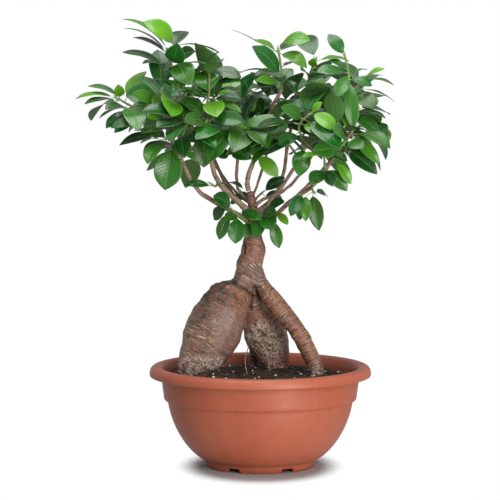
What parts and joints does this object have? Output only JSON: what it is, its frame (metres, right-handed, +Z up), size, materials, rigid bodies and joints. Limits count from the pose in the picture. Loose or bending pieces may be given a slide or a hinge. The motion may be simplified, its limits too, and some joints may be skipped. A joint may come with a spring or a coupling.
{
  "type": "potted bonsai tree",
  "caption": "Living miniature tree with a swollen root-formed trunk and a spreading crown of glossy oval leaves, rooted in soil in a round bowl-shaped plastic pot.",
  "frame": {"origin": "middle of the whole plant's box in X and Y, on the plane the pot's foot ring stands on", "axes": "+Z up from the foot ring to the top of the crown, -Y towards the viewer of the plant's front, +X to the viewer's right"},
  "size_m": [0.358, 0.2934, 0.506],
  "materials": {
    "pot_plastic": "satin",
    "potting_mix": "matte",
    "bark": "matte",
    "leaf": "satin"
  },
  "bodies": {
    "root": {"pot": "pot_plastic", "soil": "potting_mix", "trunk": "bark", "branch_back_dark": "bark", "branch_back_left": "bark", "branch_back_right": "bark", "branch_back_thin": "bark", "branch_centre": "bark", "branch_far_right": "bark", "branch_left_low": "bark", "branch_left_top": "bark", "branch_middle_thin": "bark", "branch_right_back": "bark", "branch_right_light": "bark", "branch_right_low": "bark", "spray_back_far_right": "leaf", "spray_back_left": "leaf", "spray_back_left_low": "leaf", "spray_back_low_left": "leaf", "spray_back_low_right": "leaf", "spray_back_middle": "leaf", "spray_back_right": "leaf", "spray_back_top": "leaf", "spray_bright_low": "leaf", "spray_centre_front": "leaf", "spray_centre_top": "leaf", "spray_far_right": "leaf", "spray_fill_behind": "leaf", "spray_fill_left": "leaf", "spray_fill_left_middle": "leaf", "spray_fill_middle": "leaf", "spray_fill_right": "leaf", "spray_fill_right_end": "leaf", "spray_fill_right_front": "leaf", "spray_fill_right_low": "leaf", "spray_inner_end": "leaf", "spray_inner_left": "leaf", "spray_inner_low": "leaf", "spray_inner_middle": "leaf", "spray_inner_right": "leaf", "spray_left_end": "leaf", "spray_left_hanging": "leaf", "spray_left_middle": "leaf", "spray_left_upper": "leaf", "spray_left_vertical": "leaf", "spray_low_behind": "leaf", "spray_low_left": "leaf", "spray_low_right": "leaf", "spray_right_bottom": "leaf", "spray_right_front": "leaf", "spray_right_hanging": "leaf", "spray_right_low": "leaf", "spray_right_middle": "leaf", "spray_right_top": "leaf", "spray_top_left": "leaf", "spray_top_right": "leaf", "spray_upper_middle": "leaf", "spray_upper_right": "leaf"}
  },
  "joints": []
}
